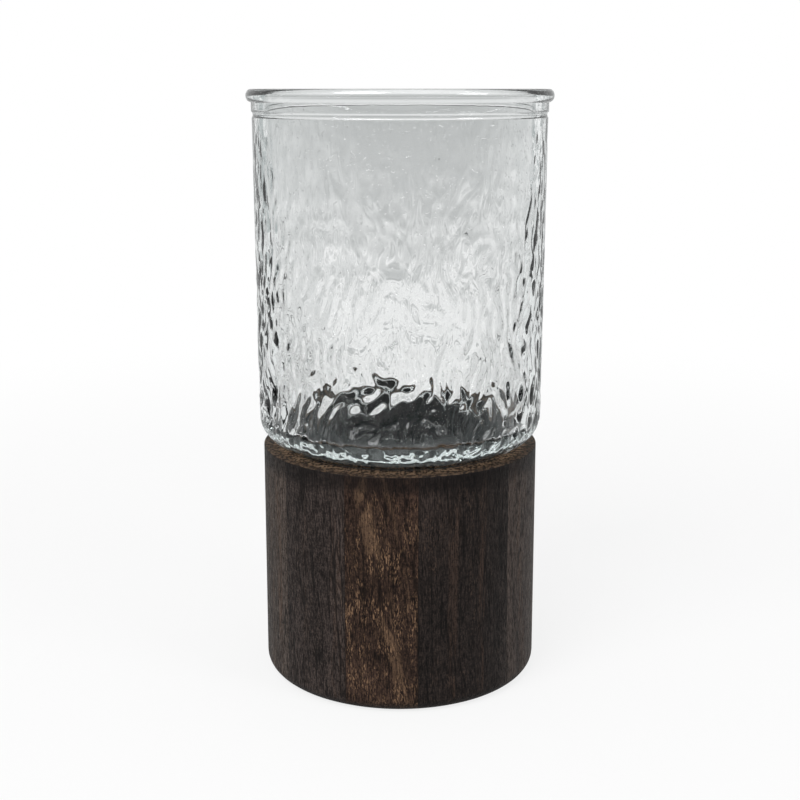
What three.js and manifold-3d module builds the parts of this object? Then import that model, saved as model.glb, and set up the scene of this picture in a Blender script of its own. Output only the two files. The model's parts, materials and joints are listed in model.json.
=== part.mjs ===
// A moulded clear glass vase that stands on a round base turned from glued strips of wood.
// Millimetres, +Z up. The origin is the centre of the base's underside, and -Y is the front.

import * as THREE from "three";
import { mergeVertices } from "three/addons/utils/BufferGeometryUtils.js";
import Module from "manifold-3d";

// The wooden base: a solid block, turned round after gluing.
const baseHeight = 80;
const baseRadius = 47.2;
const baseFootRound = 4.5;
const baseTopRound = 0.5;

// How the block is glued up: rows from front to back, each of strips of two board widths.
const rowThickness = 20;
const wideBoard = 23.8;
const narrowBoard = 21.9;
const firstJoint = -16.4;
const jointStagger = 13.5;
const leastStrip = 6;

// The glass, in heights above its own underside.
const glassHeight = 120;
const shoulderRadius = 49.2;
const heelRadius = 48.8;
const heelWidth = 12;
const heelHeight = 11;
const wallAtRim = 4;
const wallAtFloor = 4.3;
const floorThickness = 8.4;
const insideCornerRadius = 2;

// The glass's neck: a half-round bead at the mouth, a plain band, and a fine groove under it.
const beadRadius = 51.1;
const beadHeight = 4.3;
const mouthRound = 2;
const neckRadius = 49.4;
const neckHeight = 3.2;
const grooveDepth = 0.35;
const grooveWidth = 1.7;

// The underside of the glass is hollowed a little, so that it stands on a ring.
const bearingWidth = 6.4;
const puntDepth = 1.2;
const puntSlope = 0.6;

// The clear adhesive disc fills the hollow and holds the glass to the wood.
const adhesiveClearance = 1;
const adhesiveEdgeRound = 0.4;

// How finely round forms are cut into flat faces.
const turnSteps = 96;
const filletSteps = 5;

// How far the prisms that cut the strips reach past the block.
const cutMargin = 1;

const wasm = await Module();
wasm.setup();

// An elliptical arc of a profile, from one angle to another in degrees.
function arc(centreR, centreZ, radiusR, radiusZ, from, to, steps = filletSteps) {
  const points = [];
  for (let i = 0; i <= steps; i += 1) {
    const angle = THREE.MathUtils.degToRad(from + ((to - from) * i) / steps);
    const r = centreR + radiusR * Math.cos(angle);
    const z = centreZ + radiusZ * Math.sin(angle);
    points.push(new THREE.Vector2(r, z));
  }
  return points;
}

// A profile of (radius, height) points turned about the Z axis.
function turned(profile) {
  const geometry = new THREE.LatheGeometry(profile, turnSteps);
  geometry.rotateX(Math.PI / 2);
  return geometry;
}

// A closed three.js geometry as a solid that can be cut.
function toSolid(geometry) {
  const plain = geometry.clone();
  plain.deleteAttribute("normal");
  plain.deleteAttribute("uv");
  const merged = mergeVertices(plain);
  const index = merged.index.array;
  const triangles = [];
  for (let i = 0; i < index.length; i += 3) {
    const [a, b, c] = index.slice(i, i + 3);
    if (a !== b && b !== c && c !== a) {
      triangles.push(a, b, c);
    }
  }
  const vertProperties = new Float32Array(merged.attributes.position.array);
  const triVerts = new Uint32Array(triangles);
  return new wasm.Manifold(new wasm.Mesh({ numProp: 3, vertProperties, triVerts }));
}

// A cut solid back as a three.js geometry with flat faces.
function toGeometry(solid) {
  const mesh = solid.getMesh();
  const geometry = new THREE.BufferGeometry();
  geometry.setAttribute("position", new THREE.BufferAttribute(mesh.vertProperties, 3));
  geometry.setIndex(new THREE.BufferAttribute(mesh.triVerts, 1));
  const flat = geometry.toNonIndexed();
  flat.computeVertexNormals();
  return flat;
}

function namedMesh(name, geometry, material) {
  const mesh = new THREE.Mesh(geometry, material);
  mesh.name = name;
  return mesh;
}

// The turned block, before it is divided into its strips.
function turnedBlock() {
  const foot = baseFootRound;
  const top = baseTopRound;
  const profile = [
    new THREE.Vector2(0, 0),
    ...arc(baseRadius - foot, foot, foot, foot, -90, 0),
    ...arc(baseRadius - top, baseHeight - top, top, top, 0, 90, 2),
    new THREE.Vector2(0, baseHeight),
  ];
  return toSolid(turned(profile));
}

// Half the width of the round block at a distance in front of or behind its centre.
function halfChord(y) {
  const nearest = Math.min(Math.abs(y), baseRadius);
  return Math.sqrt(baseRadius ** 2 - nearest ** 2);
}

// The rows' limits from front to back: whole rows about the centre, and the first and the last
// reach out to the block's edge. None is thinner than leastStrip.
function rowLimits() {
  const rowsEachSide = Math.ceil((baseRadius - leastStrip) / rowThickness - 0.5);
  const reach = baseRadius + cutMargin;
  const rows = [];
  for (let i = -rowsEachSide; i <= rowsEachSide; i += 1) {
    const front = i === -rowsEachSide ? -reach : (i - 0.5) * rowThickness;
    const back = i === rowsEachSide ? reach : (i + 0.5) * rowThickness;
    rows.push({ front, back });
  }
  return rows;
}

// Where a row is cut into strips. The two board widths take turns, and each row is staggered
// from the one in front of it. No strip at the block's edge is narrower than leastStrip.
function stripLimits(row, rowNumber) {
  const middleRow = row.front < 0 && row.back > 0;
  const widest = middleRow ? baseRadius : Math.max(halfChord(row.front), halfChord(row.back));
  const pair = wideBoard + narrowBoard;
  const start = firstJoint + rowNumber * jointStagger;
  const firstPair = Math.floor((-widest - start) / pair);
  const joints = [];
  for (let x = start + firstPair * pair; x < widest; x += pair) {
    joints.push(x, x + wideBoard);
  }
  const kept = joints.filter((x) => Math.abs(x) < widest - leastStrip);
  const reach = baseRadius + cutMargin;
  const edges = [-reach, ...kept, reach];
  return edges.slice(1).map((right, i) => ({ left: edges[i], right }));
}

// A square prism that is taller than the block, to cut one strip out of it.
function stripPrism(strip, row) {
  const outline = new THREE.Shape();
  outline.moveTo(strip.left, row.front);
  outline.lineTo(strip.right, row.front);
  outline.lineTo(strip.right, row.back);
  outline.lineTo(strip.left, row.back);
  outline.closePath();
  const depth = baseHeight + 2 * cutMargin;
  const geometry = new THREE.ExtrudeGeometry(outline, { depth, bevelEnabled: false });
  geometry.translate(0, 0, -cutMargin);
  return toSolid(geometry);
}

// The wood's tones, and the order in which the strips take them through the block.
const woodTones = {
  black: 0x2c2723,
  redBrown: 0x6d4a33,
  slate: 0x2f3031,
  greyBrown: 0x4d4036,
  lightBrown: 0x66533f,
};
const toneOrder = ["black", "redBrown", "slate", "black", "greyBrown", "redBrown", "slate", "lightBrown"];

function stripMaterial(rowNumber, place) {
  const tone = toneOrder[(rowNumber * 4 + place) % toneOrder.length];
  return new THREE.MeshStandardMaterial({ color: woodTones[tone], roughness: 0.55, metalness: 0 });
}

function woodenBase() {
  const group = new THREE.Group();
  const block = turnedBlock();
  rowLimits().forEach((row, rowNumber) => {
    stripLimits(row, rowNumber).forEach((strip, place) => {
      const solid = block.intersect(stripPrism(strip, row));
      const name = `wood_strip_${rowNumber + 1}_${place + 1}`;
      group.add(namedMesh(name, toGeometry(solid), stripMaterial(rowNumber, place)));
    });
  });
  return group;
}

// The hollow in the underside, which the glass and its adhesive share.
const bearingOuter = heelRadius - heelWidth;
const bearingInner = bearingOuter - bearingWidth;
const puntRadius = bearingInner - puntSlope;

// The adhesive disc lies on the wood and reaches up to the roof of the hollow.
function adhesiveDisc() {
  const radius = puntRadius - adhesiveClearance;
  const round = adhesiveEdgeRound;
  const profile = [
    new THREE.Vector2(0, 0),
    ...arc(radius - round, round, round, round, -90, 0, 2),
    ...arc(radius - round, puntDepth - round, round, round, 0, 90, 2),
    new THREE.Vector2(0, puntDepth),
  ];
  const material = new THREE.MeshStandardMaterial({
    color: 0xe4e8e6,
    roughness: 0.3,
    metalness: 0,
    transparent: true,
    opacity: 0.5,
  });
  return namedMesh("adhesive_disc", turned(profile), material);
}

// The glass in one closed profile: up the outside, over the bead, down the inside to the floor.
function glassVessel() {
  const beadFoot = glassHeight - beadHeight;
  const neckFoot = beadFoot - neckHeight;
  const grooveMiddle = neckFoot - grooveWidth / 2;
  const shoulder = neckFoot - grooveWidth;
  const mouthRadius = shoulderRadius - wallAtRim;
  const floorRadius = heelRadius - wallAtFloor;
  const inside = insideCornerRadius;
  const profile = [
    new THREE.Vector2(0, puntDepth),
    new THREE.Vector2(puntRadius, puntDepth),
    new THREE.Vector2(bearingInner, 0),
    ...arc(bearingOuter, heelHeight, heelWidth, heelHeight, -90, 0, 9),
    new THREE.Vector2(shoulderRadius, shoulder),
    new THREE.Vector2(shoulderRadius - grooveDepth, grooveMiddle),
    new THREE.Vector2(neckRadius, neckFoot),
    ...arc(neckRadius, beadFoot + beadHeight / 2, beadRadius - neckRadius, beadHeight / 2, -90, 90, 10),
    ...arc(mouthRadius + mouthRound, glassHeight - mouthRound, mouthRound, mouthRound, 90, 180, 4),
    ...arc(floorRadius - inside, floorThickness + inside, inside, inside, 0, -90, 6),
    new THREE.Vector2(0, floorThickness),
  ];
  const material = new THREE.MeshStandardMaterial({
    color: 0xdce4e4,
    roughness: 0.04,
    metalness: 0,
    transparent: true,
    opacity: 0.35,
  });
  return namedMesh("glass_vessel", turned(profile), material);
}

const vase = new THREE.Group();
vase.add(woodenBase());

const glass = new THREE.Group();
glass.position.z = baseHeight;
glass.add(adhesiveDisc(), glassVessel());
vase.add(glass);

export default vase;
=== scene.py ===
import json
import math

import bmesh
import bpy
from mathutils import Matrix, Vector, noise


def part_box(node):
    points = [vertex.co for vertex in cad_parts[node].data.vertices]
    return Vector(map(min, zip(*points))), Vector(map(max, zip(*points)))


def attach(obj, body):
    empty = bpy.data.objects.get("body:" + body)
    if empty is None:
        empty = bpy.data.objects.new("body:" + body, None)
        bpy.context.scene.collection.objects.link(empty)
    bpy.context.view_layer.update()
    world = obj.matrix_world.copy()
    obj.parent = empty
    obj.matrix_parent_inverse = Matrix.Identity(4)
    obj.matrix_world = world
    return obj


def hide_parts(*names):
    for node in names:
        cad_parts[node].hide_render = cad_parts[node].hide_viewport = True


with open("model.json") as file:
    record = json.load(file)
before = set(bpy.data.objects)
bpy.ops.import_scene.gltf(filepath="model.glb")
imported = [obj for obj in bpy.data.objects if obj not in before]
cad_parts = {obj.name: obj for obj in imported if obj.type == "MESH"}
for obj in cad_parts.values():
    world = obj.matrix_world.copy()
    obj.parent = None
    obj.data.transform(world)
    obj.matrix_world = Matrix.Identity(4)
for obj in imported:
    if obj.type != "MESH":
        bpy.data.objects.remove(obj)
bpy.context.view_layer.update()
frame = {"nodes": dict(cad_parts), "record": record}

MM = 0.001


# The base is a block of dark hardwood strips with upright grain, glued face to face in rows
# and then turned round on a lathe, so its foot and top edge run on over every joint. It is
# oiled.

FOOT_ROUND = 4.5 * MM
TOP_ROUND = 0.5 * MM
FLUSH = 0.3 * MM
BLOCK_STEPS = 288
SPIN_SECTORS = 8
WELD_DISTANCE = 0.002 * MM
TOLERANCE = 0.001 * MM
SHARP_ANGLE = 35.0


def new_profile(points):
    """A bmesh that holds one open line of (radius, height) points, ready to be spun."""
    shape = bmesh.new()
    corners = [shape.verts.new((radius, 0.0, height)) for radius, height in points]
    for first, second in zip(corners, corners[1:]):
        shape.edges.new((first, second))
    return shape


def arc(centre, radii, start, end, steps):
    """Points of an elliptical arc, with its angles in degrees from the outward direction."""
    points = []
    for i in range(steps + 1):
        angle = math.radians(start + (end - start) * i / steps)
        radius = centre[0] + radii[0] * math.cos(angle)
        height = centre[1] + radii[1] * math.sin(angle)
        points.append((radius, height))
    return points


def spin_closed(shape, steps):
    """Spins the profile through one sector, copies that round the axis, and welds it all."""
    centre = (0.0, 0.0, 0.0)
    bmesh.ops.spin(
        shape,
        geom=shape.verts[:] + shape.edges[:],
        cent=centre,
        axis=(0.0, 0.0, 1.0),
        angle=math.tau / SPIN_SECTORS,
        steps=steps // SPIN_SECTORS,
    )
    sector = shape.verts[:] + shape.edges[:] + shape.faces[:]
    for number in range(1, SPIN_SECTORS):
        copied = bmesh.ops.duplicate(shape, geom=sector)["geom"]
        moved = [part for part in copied if isinstance(part, bmesh.types.BMVert)]
        turn = Matrix.Rotation(math.tau * number / SPIN_SECTORS, 3, "Z")
        bmesh.ops.rotate(shape, cent=centre, matrix=turn, verts=moved)
    bmesh.ops.remove_doubles(shape, verts=shape.verts, dist=WELD_DISTANCE)
    bmesh.ops.dissolve_degenerate(shape, edges=shape.edges, dist=TOLERANCE)
    bmesh.ops.recalc_face_normals(shape, faces=shape.faces)


def finish_piece(shape, name, material):
    """Turns the bmesh into a smooth object whose hard corners stay sharp."""
    for face in shape.faces:
        face.smooth = True
    for edge in shape.edges:
        if len(edge.link_faces) == 2 and edge.calc_face_angle(0.0) > math.radians(SHARP_ANGLE):
            edge.smooth = False
    mesh = bpy.data.meshes.new(name)
    shape.to_mesh(mesh)
    shape.free()
    mesh.materials.append(material)
    piece = bpy.data.objects.new(name, mesh)
    bpy.context.scene.collection.objects.link(piece)
    return piece


class Pattern:
    """One shader socket. Sums and products of patterns and numbers add nodes to its tree."""

    def __init__(self, tree, socket=None):
        self.tree = tree
        self.socket = socket

    def node(self, kind, settings=None, inputs=None, output=0):
        """Adds a node: its settings first, then the values or links of its sockets."""
        made = self.tree.nodes.new(kind)
        for name, value in (settings or {}).items():
            setattr(made, name, value)
        for name, value in (inputs or {}).items():
            if isinstance(value, Pattern):
                self.tree.links.new(value.socket, made.inputs[name])
            else:
                made.inputs[name].default_value = value
        return Pattern(self.tree, made.outputs[output])

    def output(self, name):
        """Another output of the node that this one comes from."""
        return Pattern(self.tree, self.socket.node.outputs[name])

    def feed(self, socket):
        """Links this pattern to a socket of a node that is there already."""
        self.tree.links.new(self.socket, socket)

    def math(self, operation, *values):
        return self.node("ShaderNodeMath", {"operation": operation}, dict(enumerate(values)))

    def __add__(self, other):
        return self.math("ADD", self, other)

    __radd__ = __add__

    def __sub__(self, other):
        return self.math("SUBTRACT", self, other)

    def __rsub__(self, other):
        return self.math("SUBTRACT", other, self)

    def __mul__(self, other):
        return self.math("MULTIPLY", self, other)

    __rmul__ = __mul__

    def __truediv__(self, other):
        return self.math("DIVIDE", self, other)

    def __pow__(self, other):
        return self.math("POWER", self, other)

    def __abs__(self):
        return self.math("ABSOLUTE", self)

    def least(self, other):
        return self.math("MINIMUM", self, other)

    def most(self, other):
        return self.math("MAXIMUM", self, other)

    def rise(self, low, high):
        """0 below low and 1 above high, with a soft step between them."""
        inputs = {"Value": self, "From Min": low, "From Max": high}
        return self.node("ShaderNodeMapRange", {"interpolation_type": "SMOOTHSTEP"}, inputs)

    def parts(self):
        """The x, y and z of a vector."""
        split = self.node("ShaderNodeSeparateXYZ", None, {0: self})
        return [split.output(axis) for axis in "XYZ"]

    def joined(self, x, y, z):
        """A vector of three patterns or numbers."""
        return self.node("ShaderNodeCombineXYZ", None, {0: x, 1: y, 2: z})

    def noise(self, scale=1.0, detail=2.0, roughness=0.5):
        """Smooth noise at this vector, from 0 to 1."""
        inputs = {"Vector": self, "Scale": scale, "Detail": detail, "Roughness": roughness}
        return self.node("ShaderNodeTexNoise", None, inputs)

    def tint(self, low, high):
        """A colour that goes from low to high as this pattern goes from 0 to 1."""
        low, high = (c if isinstance(c, Pattern) else (*c, 1.0) for c in (low, high))
        inputs = {0: self, 6: low, 7: high}
        return self.node("ShaderNodeMix", {"data_type": "RGBA"}, inputs, output=2)


def open_material(name):
    """A new material: its Principled node, and where a point lies on the piece, in mm."""
    material = bpy.data.materials.new(name)
    material.use_nodes = True
    tree = material.node_tree
    place = Pattern(tree).node("ShaderNodeTexCoord", output="Object")
    inputs = {0: place, "Scale": 1.0 / MM}
    point = place.node("ShaderNodeVectorMath", {"operation": "SCALE"}, inputs)
    return material, tree.nodes["Principled BSDF"], point


def emboss(shader, height, distance, strength):
    """Bumps the surface by a pattern of heights."""
    inputs = {"Height": height, "Distance": distance, "Strength": strength}
    height.node("ShaderNodeBump", None, inputs).feed(shader.inputs["Normal"])


def from_axis(x, y):
    """How far a place lies from an upright axis."""
    return (x * x + y * y) ** 0.5


def shaded(colour, share):
    return tuple(part * share for part in colour)


# Each tone is its dark ground, its lighter bands, the pale lines of its fibres, the dashes of
# its open pores, which catch the oil and shine golden, the brown of its heart streaks, and how
# strongly the dashes show.
WOOD_TONES = {
    "wood_black": {
        "ground": (0.0125, 0.0088, 0.0080),
        "band": (0.040, 0.029, 0.026),
        "line": (0.070, 0.053, 0.047),
        "dash": (0.150, 0.106, 0.082),
        "streak": (0.070, 0.044, 0.033),
        "dash_strength": 0.35,
    },
    "wood_red_brown": {
        "ground": (0.0085, 0.0038, 0.0028),
        "band": (0.041, 0.0220, 0.0158),
        "line": (0.062, 0.036, 0.025),
        "dash": (0.215, 0.128, 0.074),
        "streak": (0.105, 0.063, 0.038),
        "dash_strength": 0.85,
    },
    "wood_slate": {
        "ground": (0.0080, 0.0060, 0.0056),
        "band": (0.030, 0.0210, 0.0185),
        "line": (0.050, 0.036, 0.031),
        "dash": (0.140, 0.089, 0.064),
        "streak": (0.060, 0.036, 0.026),
        "dash_strength": 0.35,
    },
    "wood_grey_brown": {
        "ground": (0.022, 0.0155, 0.0125),
        "band": (0.060, 0.044, 0.037),
        "line": (0.110, 0.085, 0.071),
        "dash": (0.160, 0.111, 0.081),
        "streak": (0.090, 0.055, 0.037),
        "dash_strength": 0.3,
    },
    "wood_light_brown": {
        "ground": (0.029, 0.0205, 0.0180),
        "band": (0.058, 0.043, 0.037),
        "line": (0.100, 0.075, 0.063),
        "dash": (0.160, 0.111, 0.081),
        "streak": (0.090, 0.055, 0.038),
        "dash_strength": 0.25,
    },
}
END_DARK = (0.012, 0.008, 0.006)
# The end grain's pale, kept bright where the ring meets the glass in place of the light that
# passes through it: painted light.
END_PALE_AND_PAINTED_LIGHT = (0.330, 0.218, 0.136)
# The end grain's darker colour towards the outer rim, which is also painted shade on the
# underside.
END_RIM_AND_UNDER_DARK = (0.014, 0.010, 0.008)
# Slate grey painted shade on the wood where the glass covers it.
END_SHADE_UNDER_GLASS = (0.030, 0.037, 0.040)
# Darkens the glue lines, and is also the painted shade at the foot and under the glass.
JOINT_AND_SHADE_DARK = (0.004, 0.003, 0.003)
STRIP_MIDDLE = 40.0
PITH_DISTANCE = 70.0
WOOD_GLOSS = 0.12
GRAIN_RELIEF = 0.07 * MM


def end_grain(point, radius, waver):
    """The sawn ends: coarse pores, with the pale kept bright near the glass in place of the
    light that passes through it, which is painted light, darker towards the outer rim, painted
    shade underneath, and slate grey painted shade where the glass covers them. Radii and
    heights are in millimetres."""
    x, y, z = point.parts()
    figure = point.joined(x / 2.4 + waver, y / 1.7 + waver, 1.0)
    figure = figure.noise(detail=2.0, roughness=0.6)
    pores = point.joined(x / 0.9, y / 1.5, 1.0).noise(detail=1.0)
    # The pale of the figure stays bright near the glass, in place of the light through it:
    # painted light.
    colour = (figure * 0.5 + pores * 0.5).rise(0.44, 0.58).tint(END_DARK, END_PALE_AND_PAINTED_LIGHT)
    top_side = z.rise(30.0, 50.0)
    # Darker towards the outer rim, and painted shade on the underside.
    rim_dark_and_under_shade = radius.rise(42.3, 45.2) * 0.66 * top_side + (1.0 - top_side) * 0.7
    # Painted shade, slate grey, on the top where the glass covers it.
    glass_shade_on_top = (1.0 - radius.rise(38.6, 40.2)) * top_side
    return glass_shade_on_top.tint(rim_dark_and_under_shade.tint(colour, END_RIM_AND_UNDER_DARK), END_SHADE_UNDER_GLASS)


def heart_wood(along, streaks):
    """How strongly the heart streaks show at a place across the strip."""
    heart = None
    for middle, half_width, strength in streaks:
        beside = abs(along - middle)
        streak = (1.0 - beside.rise(half_width * 0.4, half_width * 1.3)) * strength
        heart = streak if heart is None else heart.most(streak)
    return heart


def joint_line(x, y, joints):
    """1 on the glue line to the next strip, and 0 from a fifth of a millimetre beside it."""
    left, right, front, back = joints
    gap = (x - left).least(right - x).least((y - front).least(back - y))
    return 1.0 - gap.rise(0.04, 0.20)


def strip_wood(name, tone, shade, lean, streaks, seed, joints):
    """Oiled hardwood: growth bands, fine pale fibres and pores along the grain of one strip.

    What divides x, y, z and ring is how wide, deep or long a figure is, in millimetres.
    """
    material, shader, point = open_material(name)
    x, y, z = point.parts()

    sway = point.joined(x / 19.0 + seed, y / 19.0, z / 55.0).noise(detail=1.0) - 0.5
    waver = point.joined(x / 4.5 - seed, y / 4.5, z / 20.0).noise(detail=1.0) - 0.5
    across = x + z * 0.03 + sway * 4.0 + waver * 0.9
    depth = y + sway * 3.0 + waver * 0.9

    pith_x = 26.0 * math.sin(seed * 2.1)
    pith_y = PITH_DISTANCE + 12.0 * math.cos(seed * 1.3)
    ring = from_axis(across + z * lean - pith_x, depth - pith_y)
    wide = point.joined(ring / 6.0, seed, z / 130.0).noise(detail=1.0)
    narrow = point.joined(ring / 1.7, seed + 5.0, z / 90.0).noise(detail=3.0, roughness=0.65)
    bands = (wide * 0.6 + narrow * 0.4).rise(0.40, 0.60)
    strands = point.joined(ring / 0.36, seed, z / 20.0).noise(detail=1.0).rise(0.42, 0.60)

    fibres = point.joined(across / 0.32, depth / 0.32, z / 2.6 + seed)
    fibres = fibres.noise(detail=2.0, roughness=0.65)
    pale = fibres.rise(0.50, 0.62)
    dark = 1.0 - fibres.rise(0.38, 0.48)
    grit = point.joined(across / 0.5, depth / 0.5, z / 0.6 - seed).noise(detail=1.0)
    hair_field = point.joined(across / 1.5, depth / 1.5, z / 34.0 - seed).noise(detail=0.0)
    hairs = 1.0 - abs(hair_field - 0.5).rise(0.010, 0.050)

    clusters = point.joined(ring / 3.4, seed + 9.0, z / 45.0).noise(detail=2.0)
    clusters = clusters.rise(0.36, 0.60)
    tufts = point.joined(across / 2.6, depth / 2.6, z / 9.0 + seed).noise(detail=2.0)
    tufts = tufts.rise(0.46, 0.62) * 0.85 + 0.15
    dashes = point.joined(across / 0.28, depth / 0.28, z / 1.5 - seed).noise(detail=1.0)
    dashes = dashes.rise(0.52, 0.64) * clusters * tufts
    patch = point.joined(across / 4.0, depth / 4.0, z / 20.0 - seed).noise(detail=1.0)
    curl = point.joined(across / 6.0, depth / 6.0, z / 0.9 + sway * 6.0).noise(detail=1.0)

    ground, band, line, dash, streak = (
        shaded(tone[key], shade) for key in ("ground", "band", "line", "dash", "streak")
    )
    colour = bands.tint(ground, band)
    colour = (patch.rise(0.38, 0.62) * 0.65).tint(colour, shaded(band, 0.5))
    colour = (curl.rise(0.40, 0.66) * 0.22).tint(colour, line)
    colour = (grit.rise(0.50, 0.70) * 0.45).tint(colour, line)
    if streaks:
        heart = heart_wood(x + (z - STRIP_MIDDLE) * lean + waver * 1.6, streaks)
        colour = heart.tint(colour, strands.tint(shaded(band, 0.5), streak))
    colour = (pale * (bands * 0.5 + 0.45)).tint(colour, line)
    colour = (dark * 0.75).tint(colour, shaded(ground, 0.4))
    colour = (dashes * tone["dash_strength"]).tint(colour, dash)
    colour = (hairs * 0.7).tint(colour, shaded(ground, 0.3))
    colour = ((1.0 - grit.rise(0.30, 0.46)) * 0.55).tint(colour, shaded(ground, 0.4))

    normal = point.node("ShaderNodeNewGeometry", output="Normal")
    is_end = abs(normal.parts()[2]).rise(0.5, 0.9)
    end_colour = end_grain(point, from_axis(x, y), waver)
    colour = (is_end * 0.9).tint(colour, end_colour)

    seam = joint_line(x, y, joints)
    # Painted shade: darker on the foot's downward round.
    foot = 1.0 - z.rise(0.4, 4.6)
    # Painted shade: the top of the sides is darker under the glass's overhang.
    glass_shade_on_sides = z.rise(72.0, 77.0) * (1.0 - is_end) * 0.68
    # The glue lines darkened, together with the painted shade at the foot and under the glass.
    joints_and_painted_shade = (seam * 0.6).most(foot * 0.75).most(glass_shade_on_sides)
    joints_and_painted_shade.tint(colour, JOINT_AND_SHADE_DARK).feed(shader.inputs["Base Color"])

    (0.58 - dashes * 0.15 - pale * 0.08 + dark * 0.15).feed(shader.inputs["Roughness"])
    shader.inputs["Specular IOR Level"].default_value = WOOD_GLOSS
    height = pale * 0.4 + dashes * 0.3 - dark * 0.7 - hairs * 0.6 - seam * 0.8 + bands * 0.2
    emboss(shader, height, GRAIN_RELIEF, 0.8)
    return material


strip_names = sorted(name for name in frame["nodes"] if name.startswith("wood_strip_"))
slot_of = {part["node"]: part["material_slot"] for part in frame["record"]["subparts"]}
base_radius = max(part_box(name)[1].x for name in strip_names)
base_height = max(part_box(name)[1].z for name in strip_names)

# What share of its tone's brightness a strip has, and how far its growth bands lean from
# upright, as a slope, where the photograph shows it.
STRIP_SHADE = {"wood_strip_1_3": 0.76, "wood_strip_1_4": 0.47, "wood_strip_2_4": 0.79}
GRAIN_LEAN = {"wood_strip_1_2": 0.20, "wood_strip_1_4": 0.06, "wood_strip_2_4": 0.05}
USUAL_LEAN = 0.03

# The heart streaks: where each lies across the front and half its width, both in millimetres,
# and how strong it is.
HEART_STREAKS = {
    "wood_strip_1_1": ((-19.0, 2.4, 0.45), (-30.0, 1.0, 0.25)),
    "wood_strip_1_2": ((-4.0, 2.6, 0.9), (4.2, 0.9, 0.5)),
    "wood_strip_1_3": ((18.6, 1.7, 0.7), (28.2, 1.2, 0.75)),
    "wood_strip_2_1": ((-39.6, 1.1, 0.8), (-43.0, 0.8, 0.5)),
    "wood_strip_2_4": ((41.2, 1.2, 0.6), (44.6, 0.8, 0.4)),
}
SEED_STEP = 3.7

# The axis and the direction in which a strip's left, right, front and back joints face.
JOINT_SIDES = ((0, -1.0), (0, 1.0), (1, -1.0), (1, 1.0))


def half_chord(distance):
    """Half the block's width at a distance from its centre."""
    return math.sqrt(max(base_radius**2 - distance**2, 0.0))


def nearest(low, high):
    """The least distance from zero of what lies between low and high."""
    return 0.0 if low < 0.0 < high else min(abs(low), abs(high))


def joint_limits(low, high):
    """A strip's left, right, front and back, or a place past the block for no joint."""
    past = 2.0 * base_radius
    near_x = nearest(low.x, high.x) + FLUSH
    near_y = nearest(low.y, high.y) + FLUSH
    left = low.x if near_y < half_chord(low.x) else -past
    right = high.x if near_y < half_chord(high.x) else past
    front = low.y if near_x < half_chord(low.y) else -past
    back = high.y if near_x < half_chord(high.y) else past
    return left, right, front, back


def cut_off(shape, joint, axis, sign):
    """Cuts away what lies past a joint and closes the cut with a flat face."""
    point, outward = Vector(), Vector()
    point[axis] = joint
    outward[axis] = sign
    cut = bmesh.ops.bisect_plane(
        shape,
        geom=shape.verts[:] + shape.edges[:] + shape.faces[:],
        dist=TOLERANCE,
        plane_co=point,
        plane_no=outward,
        clear_outer=True,
    )
    rim = [part for part in cut["geom_cut"] if isinstance(part, bmesh.types.BMEdge)]
    bmesh.ops.holes_fill(shape, edges=rim, sides=0)


turned_block = new_profile(
    [(0.0, 0.0)]
    + arc((base_radius - FOOT_ROUND, FOOT_ROUND), (FOOT_ROUND, FOOT_ROUND), -90.0, 0.0, 8)
    + arc(
        (base_radius - TOP_ROUND, base_height - TOP_ROUND),
        (TOP_ROUND, TOP_ROUND), 0.0, 90.0, 4,
    )
    + [(0.0, base_height)]
)
spin_closed(turned_block, BLOCK_STEPS)

for number, name in enumerate(strip_names):
    block = turned_block.copy()
    joints = joint_limits(*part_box(name))
    for joint, (axis, sign) in zip(joints, JOINT_SIDES):
        if abs(joint) < base_radius:
            cut_off(block, joint, axis, sign)
    bmesh.ops.recalc_face_normals(block, faces=block.faces)
    wood = strip_wood(
        name + "_wood",
        WOOD_TONES[slot_of[name]],
        STRIP_SHADE.get(name, 1.0),
        GRAIN_LEAN.get(name, USUAL_LEAN * math.sin(number * 1.7)),
        HEART_STREAKS.get(name, ()),
        SEED_STEP * number,
        [joint / MM for joint in joints],
    )
    strip = finish_piece(block, name + "_turned", wood)
    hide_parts(name)
    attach(strip, "root")


# A disc of clear adhesive in the hollow under the glass fixes it to the wood.
# It is poured a hair thinner than the hollow, and sets to a soft-edged, glassy sheet.

ADHESIVE_ROUND = 0.4 * MM
ADHESIVE_LIFT = 0.01 * MM
ADHESIVE_GAP = 0.05 * MM
ADHESIVE_STEPS = 96

adhesive_low, adhesive_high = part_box("adhesive_disc")
sheet_foot = adhesive_low.z + ADHESIVE_LIFT
sheet_top = adhesive_high.z - ADHESIVE_GAP
sheet_round = (ADHESIVE_ROUND, ADHESIVE_ROUND)
round_centre = adhesive_high.x - ADHESIVE_ROUND


def clear_adhesive():
    """Set adhesive: clear, with faint milky clouds."""
    material, shader, point = open_material("clear_adhesive")
    clouds = point.noise(scale=0.25, detail=2.0)
    clouds.tint((0.86, 0.90, 0.89), (0.95, 0.97, 0.96)).feed(shader.inputs["Base Color"])
    (clouds * 0.12 + 0.04).feed(shader.inputs["Roughness"])
    shader.inputs["Transmission Weight"].default_value = 1.0
    shader.inputs["IOR"].default_value = 1.47
    return material


adhesive_shape = new_profile(
    [(0.0, sheet_foot)]
    + arc((round_centre, sheet_foot + ADHESIVE_ROUND), sheet_round, -90.0, 0.0, 4)
    + arc((round_centre, sheet_top - ADHESIVE_ROUND), sheet_round, 0.0, 90.0, 4)
    + [(0.0, sheet_top)]
)
spin_closed(adhesive_shape, ADHESIVE_STEPS)
adhesive = finish_piece(adhesive_shape, "adhesive_sheet", clear_adhesive())
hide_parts("adhesive_disc")
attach(adhesive, "root")


# The vessel is one piece of press-moulded clear glass. The mould leaves a rippled, bark-like
# relief on the outer wall and round the heel. The bead, the neck and the inside are smooth.

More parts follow.
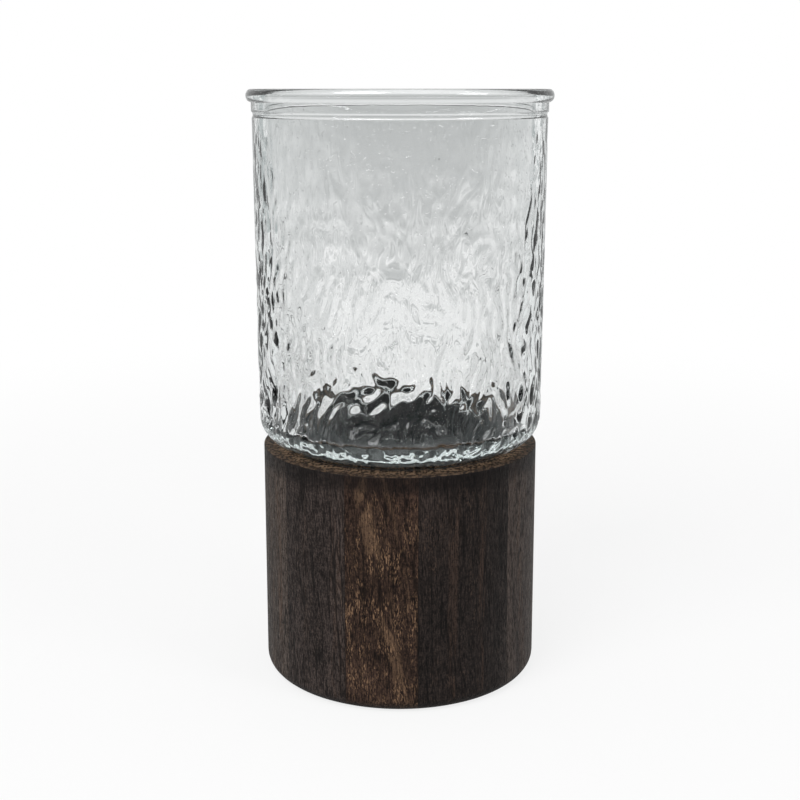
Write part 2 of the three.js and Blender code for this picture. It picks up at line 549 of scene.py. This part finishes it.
glass_low, glass_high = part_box("glass_vessel")
BEAD_HEIGHT = 4.3 * MM
NECK_RADIUS = 49.4 * MM
NECK_HEIGHT = 3.2 * MM
GROOVE_WIDTH = 1.7 * MM
GROOVE_DEPTH = 0.35 * MM
SHOULDER_RADIUS = 49.2 * MM
HEEL_RADIUS = 48.8 * MM
HEEL_WIDTH = 12.0 * MM
HEEL_HEIGHT = 11.0 * MM
BEARING_WIDTH = 6.4 * MM
BEARING_RISE = 0.4 * MM
PUNT_DEPTH = 1.2 * MM
PUNT_SLOPE = 0.6 * MM
WALL_AT_RIM = 4.0 * MM
WALL_AT_FLOOR = 4.3 * MM
FLOOR_THICKNESS = 8.4 * MM
INSIDE_CORNER = 2.0 * MM
MOUTH_ROUND = 2.0 * MM

# How finely the outer wall is divided round and up for the relief, and the hollow's roof for
# the uneven edge of its bond.
GLASS_STEPS = 560
WALL_ROWS = 104
ROOF_STEP = 1.0 * MM
ROOF_ROWS = 12

bottom = glass_low.z
top = glass_high.z
bead_foot = top - BEAD_HEIGHT
bead_middle = bead_foot + BEAD_HEIGHT / 2
neck_foot = bead_foot - NECK_HEIGHT
shoulder = neck_foot - GROOVE_WIDTH
bearing_outer = HEEL_RADIUS - HEEL_WIDTH
bearing_inner = bearing_outer - BEARING_WIDTH
punt_radius = bearing_inner - PUNT_SLOPE
mouth_radius = SHOULDER_RADIUS - WALL_AT_RIM
floor_radius = HEEL_RADIUS - WALL_AT_FLOOR
floor_top = bottom + FLOOR_THICKNESS
heel_top = bottom + HEEL_HEIGHT


def roof_line():
    """The roof of the hollow under the glass, from its middle to its edge."""
    radii = [punt_radius - ROOF_STEP * i for i in reversed(range(ROOF_ROWS))]
    return [(radius, bottom + PUNT_DEPTH) for radius in [0.0] + radii]


def wall_line():
    """The outer wall from the heel to the shoulder."""
    points = []
    for i in range(1, WALL_ROWS + 1):
        share = i / WALL_ROWS
        radius = HEEL_RADIUS + (SHOULDER_RADIUS - HEEL_RADIUS) * share
        points.append((radius, heel_top + (shoulder - heel_top) * share))
    return points


# The relief: how wide, long and deep its folds are, and the lobes into which they pass round
# the heel.
RIPPLE_WIDTH = 3.6 * MM
RIPPLE_LENGTH = 9.5 * MM
RIPPLE_DEPTH = 0.88 * MM
RIPPLE_BEND = 4.5 * MM
BEND_LENGTH = 22.0 * MM
LOBE_WIDTH = 2.2 * MM
LOBE_LENGTH = 30.0 * MM
LOBE_DEPTH = 0.66 * MM

# Between which heights above the underside the relief changes on its way up: the lobes
# deepen, pass into folds, the folds lose their crispness and their extra depth, and calm down
# towards the neck. It begins in the heel and ends under the groove over a short way.
LOBES_DEEPEN = (4.2 * MM, 6.0 * MM)
LOBES_END = (5.0 * MM, 9.5 * MM)
CRISPNESS_ENDS = (16.0 * MM, 34.0 * MM)
EXTRA_DEPTH_ENDS = (19.0 * MM, 33.0 * MM)
FOLDS_CALM = (38.0 * MM, 100.0 * MM)
HEEL_FADE = 2.5 * MM
NECK_FADE = 7.0 * MM

noise.seed_set(3)


def steady(low, high, value):
    """0 below low and 1 above high, with a soft step between them, for plain numbers."""
    share = min(1.0, max(0.0, (value - low) / (high - low)))
    return share * share * (3.0 - 2.0 * share)


def lobes(place):
    """Rounded lobes round the heel, from 0 on a crown to 1 in the crease between two."""
    cells = Vector((place.x / LOBE_WIDTH, place.y / LOBE_WIDTH, place.z / LOBE_LENGTH))
    crown = noise.noise(cells + Vector((2.2, 5.5, 0.0)))
    return 1.0 - min(1.0, 3.6 * math.sqrt(crown * crown + 0.001))


def ripple(place):
    """The folds on the wall, from 0 on their crests to 1 in the deepest of their valleys."""
    bent = place + noise.noise_vector(place / BEND_LENGTH) * RIPPLE_BEND
    climb = bent.z - bottom
    along = (1.35 - 0.15 * climb / (top - bottom)) * climb / RIPPLE_LENGTH
    cells = Vector((bent.x / RIPPLE_WIDTH, bent.y / RIPPLE_WIDTH, along))
    folds = noise.noise(cells)
    ridged = math.sqrt(folds * folds + 0.007)
    swell = noise.noise(cells * 0.6 + Vector((7.1, 3.3, 9.7)))
    crisp = noise.noise(cells * 2.1 + Vector((1.9, 8.2, 4.4)))
    crisp *= 1.0 - steady(*CRISPNESS_ENDS, place.z - bottom)
    return min(1.0, max(0.0, 1.2 * ridged + 0.14 * swell + 0.16 * crisp + 0.1))


def sink_relief(shape):
    """Moves the outer wall's corners into the glass, which leaves the mould's relief."""
    for corner in shape.verts:
        place = corner.co
        radius = math.hypot(place.x, place.y)
        outside = radius > bearing_outer and place.z < shoulder + 0.01 * MM
        inner_wall = radius < SHOULDER_RADIUS - WALL_AT_RIM / 2 and place.z > floor_top
        if not outside or inner_wall:
            continue
        height = place.z - bottom
        folded = RIPPLE_DEPTH * ripple(place)
        folded *= 1.0 - 0.76 * steady(*FOLDS_CALM, height)
        folded *= 1.65 - 0.70 * steady(*EXTRA_DEPTH_ENDS, height)
        lobed = LOBE_DEPTH * lobes(place) * (0.30 + 0.70 * steady(*LOBES_DEEPEN, height))
        low_down = 1.0 - steady(*LOBES_END, height)
        fade = 1.0 - steady(shoulder - NECK_FADE, shoulder, place.z)
        fade *= steady(bearing_outer, bearing_outer + HEEL_FADE, radius)
        sunk = fade * (folded * (1.0 - 0.93 * low_down) + lobed * low_down)
        turn = min(1.0, height / HEEL_HEIGHT) * math.pi / 2
        out = Vector((place.x / radius, place.y / radius, 0.0))
        corner.co += (Vector((0.0, 0.0, math.cos(turn))) - out * math.sin(turn)) * sunk


vessel = new_profile(
    roof_line()
    + [(bearing_inner, bottom + BEARING_RISE), (bearing_outer - 0.5 * MM, bottom + 0.05 * MM)]
    + arc((bearing_outer, heel_top), (HEEL_WIDTH, HEEL_HEIGHT - 0.04 * MM), -90.0, 0.0, 22)
    + wall_line()
    + arc(
        (SHOULDER_RADIUS, shoulder + GROOVE_WIDTH / 2),
        (-GROOVE_DEPTH, GROOVE_WIDTH / 2), -60.0, 60.0, 4,
    )
    + [(NECK_RADIUS, neck_foot + 0.2 * MM), (NECK_RADIUS, bead_foot - 0.1 * MM)]
    + arc(
        (NECK_RADIUS, bead_middle),
        (glass_high.x - NECK_RADIUS, BEAD_HEIGHT / 2), -90.0, 90.0, 12,
    )
    + arc(
        (mouth_radius + MOUTH_ROUND, top - MOUTH_ROUND),
        (MOUTH_ROUND, MOUTH_ROUND), 90.0, 180.0, 6,
    )
    + arc(
        (floor_radius - INSIDE_CORNER, floor_top + INSIDE_CORNER),
        (INSIDE_CORNER, INSIDE_CORNER), 0.0, -90.0, 8,
    )
    + [(0.0, floor_top)]
)
spin_closed(vessel, GLASS_STEPS)
sink_relief(vessel)

GLASS_IOR = 1.51
GLASS_DEPTH_TINT = (0.40, 0.62, 0.60, 1.0)
GLASS_DEPTH_DENSITY = 3.5
BOND_RADIUS = 27.5 * MM
BOND_UNEVEN = 3.0 * MM
BOND_LOBE = 9.0 * MM


def moulded_glass():
    """Clear soda glass with the faint blue-green cast that its thick edges show. Its surface
    has very fine waves, flatter at the neck, a wavy floor, and seeds high on the wall."""
    material, shader, point = open_material("moulded_glass")
    shader.inputs["Base Color"].default_value = (0.994, 0.997, 0.996, 1.0)
    shader.inputs["Transmission Weight"].default_value = 1.0
    shader.inputs["IOR"].default_value = GLASS_IOR
    shader.inputs["Roughness"].default_value = 0.0

    x, y, z = point.parts()
    radius = from_axis(x, y)
    on_floor = 1.0 - z.rise(floor_top / MM + 0.3, floor_top / MM + 3.0)
    on_floor = on_floor * (1.0 - radius.rise(40.0, 44.0))
    floor_waves = point.joined(x / 4.5, y / 4.5, z).noise(detail=0.0) * on_floor
    fine = point.noise(scale=0.4, detail=1.0) * (0.02 - z.rise(186.0, 191.0) * 0.015)
    seeds = point.joined(x / 0.9, y / 0.9, z / 1.3).noise(detail=0.0).rise(0.74, 0.80)
    seeds = radius.rise(46.0, 47.0) * z.rise(104.0, 116.0) * seeds
    emboss(shader, fine + floor_waves * 0.05 - seeds * 0.06, 1.0 * MM, 1.0)

    depth = point.node("ShaderNodeVolumeAbsorption")
    depth.socket.node.inputs["Color"].default_value = GLASS_DEPTH_TINT
    depth.socket.node.inputs["Density"].default_value = GLASS_DEPTH_DENSITY
    depth.feed(material.node_tree.nodes["Material Output"].inputs["Volume"])
    return material


def bond_dark_painted_shade():
    """The roof of the hollow where the adhesive wets it: within the glass only dark wood shows
    through, painted on an opaque sheet as the wood's dark streaks and its painted shade."""
    material, shader, point = open_material("bond_dark_painted_shade")
    x, y, z = point.parts()
    streaks = point.joined(x / 1.4, y / 9.0, z).noise(detail=2.0).rise(0.35, 0.75)
    # The wood's dark streaks and their shade, painted on the sheet: painted shade.
    wood_dark_and_shade = streaks.tint((0.003, 0.003, 0.004), (0.032, 0.030, 0.029))
    wood_dark_and_shade.feed(shader.inputs["Base Color"])
    shader.inputs["Roughness"].default_value = 0.25
    shader.inputs["Specular IOR Level"].default_value = 0.04
    return material


glass = finish_piece(vessel, "glass_vessel_moulded", moulded_glass())
glass.data.materials.append(bond_dark_painted_shade())
# Faces of the roof within the bond's uneven edge take the opaque sheet of painted shade.
for face in glass.data.polygons:
    reach = BOND_RADIUS + BOND_UNEVEN * noise.noise(face.center / BOND_LOBE)
    under = face.center.z < bottom + PUNT_DEPTH + 0.01 * MM
    if under and face.center.xy.length < reach:
        face.material_index = 1
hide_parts("glass_vessel")
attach(glass, "root")


# The stage is a round white floor that shows as plain white and keeps a soft shadow. In the
# glass it shows in graded tones. It isn't part of the object.

FLOOR_RADIUS = 0.65
WHITE = (1.0, 1.0, 1.0)
PALE_GREY = (0.70, 0.71, 0.71)
ROOM_PANELS = 8.0


class LightPath:
    """How the light came: seen by the camera, passed through glass or mirrored, how often it
    was mirrored, and whether it came straight, not guided along within the glass."""

    def __init__(self, pattern):
        path = pattern.node("ShaderNodeLightPath")
        self.camera = path.output("Is Camera Ray")
        self.passed = path.output("Is Transmission Ray")
        self.in_gloss = path.output("Is Glossy Ray").most(self.passed)
        self.bounces = path.output("Glossy Depth")
        self.straight = 1.0 - path.output("Transmission Depth").rise(2.2, 3.8)

    def by_bounces(self, never, once, often):
        """A tone by how often the light was mirrored on its way."""
        tone = self.bounces.least(1.0).tint(never, once)
        return (self.bounces - 1.0).rise(0.0, 1.0).tint(tone, often)


def panels(x, y):
    """Light and dark panels round the room, from -1 to 1."""
    return x.math("COSINE", x.math("ARCTAN2", y, x) * ROOM_PANELS)


def patchy(around, mottle):
    """The mild light and dark of the floor and the low wall."""
    return (around.rise(-0.6, 0.5) * 0.6 + mottle * 0.4).tint(PALE_GREY, WHITE)


def pale_floor():
    """Matt white, which glows by itself for the camera and in the glass. Lengths are in mm."""
    material, shader, point = open_material("pale_floor")
    shader.inputs["Base Color"].default_value = (0.72, 0.72, 0.72, 1.0)
    shader.inputs["Roughness"].default_value = 0.9
    shader.inputs["Specular IOR Level"].default_value = 0.0
    light = LightPath(point)
    x, y, z = point.parts()
    radius = from_axis(x, y)
    behind = y.rise(-100.0, 100.0)
    mottle = point.joined(x / 50.0, y / 50.0, 0.0).noise(detail=1.0).rise(0.35, 0.65)

    # Seen in the glass, the floor glows darker near the vase and in front of it: painted
    # shade.
    near = 1.0 - radius.rise(160.0, 300.0)
    front = near.tint((0.12, 0.14, 0.14), (0.60, 0.61, 0.61))
    straight = behind.tint(front, (0.80, 0.82, 0.82))
    once = light.straight.tint((0.55, 0.56, 0.56), straight)
    guided = behind.tint((0.20, 0.22, 0.22), (0.60, 0.62, 0.62))
    straight = radius.rise(150.0, 260.0).tint((0.12, 0.15, 0.15), (0.95, 0.95, 0.95))
    often = light.straight.tint(guided, straight)
    in_glass = light.by_bounces(patchy(panels(x, y), mottle), once, often)

    tone = light.in_gloss.tint(WHITE, in_glass)
    glow = point.node("ShaderNodeEmission", None, {"Color": tone, "Strength": 1.0})
    away = radius.rise(150.0, FLOOR_RADIUS / MM * 0.95)
    share = light.camera.most(light.in_gloss) * (away * 0.2 + 0.8)
    matt = Pattern(point.tree, shader.outputs["BSDF"])
    mixed = point.node("ShaderNodeMixShader", None, {0: share, 1: matt, 2: glow})
    mixed.feed(material.node_tree.nodes["Material Output"].inputs["Surface"])
    return material


floor_shape = bmesh.new()
bmesh.ops.create_circle(floor_shape, cap_ends=True, segments=96, radius=FLOOR_RADIUS)
floor = finish_piece(floor_shape, "floor", pale_floor())


# Plain studio light: an even pale room, with one large soft lamp above and to the left of the
# camera and a smaller one on its right. The room shows white to the camera, and in the glass
# in tones graded by height, by front and back, and by how the light came.


def studio_room():
    world = bpy.data.worlds.new("studio_room")
    bpy.context.scene.world = world
    world.use_nodes = True
    tree = world.node_tree
    way = Pattern(tree).node("ShaderNodeTexCoord", output="Generated")
    light = LightPath(way)
    x, y, z = way.parts()
    around = panels(x, y)
    mottle = way.joined(x * 8.0, y * 8.0, z * 10.0).noise(detail=1.0).rise(0.35, 0.65)
    spots = way.joined(x * 9.0, y * 9.0, z * 9.0).noise(detail=1.0).rise(0.40, 0.60)
    behind = y.rise(-0.3, 0.3)
    overhead = z.rise(0.42, 0.62)

    sides = (1.0 - around.rise(0.1, 0.95)) * 0.6 + mottle * 0.35
    wall = sides.tint((0.505, 0.515, 0.515), (0.59, 0.60, 0.60))
    plain = z.rise(-0.27, -0.07).tint(patchy(around, mottle), wall)
    plain = z.rise(0.05, 0.28).tint(plain, (0.78, 0.79, 0.79))

    guided = overhead.tint((0.006, 0.006, 0.007), (0.60, 0.61, 0.61))
    guided = z.rise(0.02, 0.12).tint((0.74, 0.75, 0.75), guided)
    spotted = spots.tint((0.42, 0.46, 0.46), (0.95, 0.96, 0.96))
    straight = behind.most(z.rise(0.02, 0.20)).tint((0.33, 0.37, 0.37), spotted)
    once = light.straight.tint(guided, straight)
    outside = behind.most(overhead).tint((0.06, 0.06, 0.062), (0.70, 0.71, 0.71))
    once = light.passed.tint(outside, once)

    dim = behind.tint((0.22, 0.255, 0.255), (0.46, 0.49, 0.49))
    guided = z.rise(0.0, 0.12).tint((0.40, 0.42, 0.42), dim)
    straight = z.rise(0.40, 0.65).tint(spots.tint((0.60, 0.62, 0.62), WHITE), dim)
    often = light.straight.tint(guided, straight)

    in_glass = light.by_bounces(plain, once, often)
    colour = light.in_gloss.tint((0.65, 0.65, 0.65), in_glass)
    light.camera.tint(colour, WHITE).feed(tree.nodes["Background"].inputs["Color"])


LAMP_AIM = Vector((0.0, 0.0, 0.1))


def soft_lamp(name, place, size, power):
    """A round area lamp, aimed at the middle of the vase."""
    data = bpy.data.lights.new(name, "AREA")
    data.shape = "DISK"
    data.size = size
    data.energy = power
    lamp = bpy.data.objects.new(name, data)
    lamp.location = place
    lamp.rotation_euler = (LAMP_AIM - Vector(place)).to_track_quat("-Z", "Y").to_euler()
    bpy.context.scene.collection.objects.link(lamp)


studio_room()
soft_lamp("key_lamp", (-0.45, -0.75, 1.0), 0.8, 11.0)
soft_lamp("fill_lamp", (0.8, -0.5, 0.6), 0.4, 3.0)


# The camera stands in front of the vase, a little to the right and at the height of the rim,
# and looks down a little, as in the photograph. It isn't part of the object.

LENS_PIXELS = 1316.4
PICTURE_PIXELS = 800
SENSOR = 36.0
CAMERA_DISTANCE = 445.5 * MM
CAMERA_HEIGHT = 199.7 * MM
CAMERA_TILT = 10.93
CAMERA_SIDE = 1.85
FRAME_SHIFT = -0.07
NEAREST_SEEN = 0.01

eye = bpy.data.cameras.new("camera")
eye.sensor_width = SENSOR
eye.lens = LENS_PIXELS * SENSOR / PICTURE_PIXELS
eye.shift_y = FRAME_SHIFT
eye.clip_start = NEAREST_SEEN
camera = bpy.data.objects.new("camera", eye)
side = math.radians(CAMERA_SIDE)
camera.location = (
    CAMERA_DISTANCE * math.sin(side),
    -CAMERA_DISTANCE * math.cos(side),
    CAMERA_HEIGHT,
)
camera.rotation_euler = (math.radians(90.0 - CAMERA_TILT), 0.0, side)
bpy.context.scene.collection.objects.link(camera)
bpy.context.scene.camera = camera
bpy.context.scene.view_settings.view_transform = "Standard"
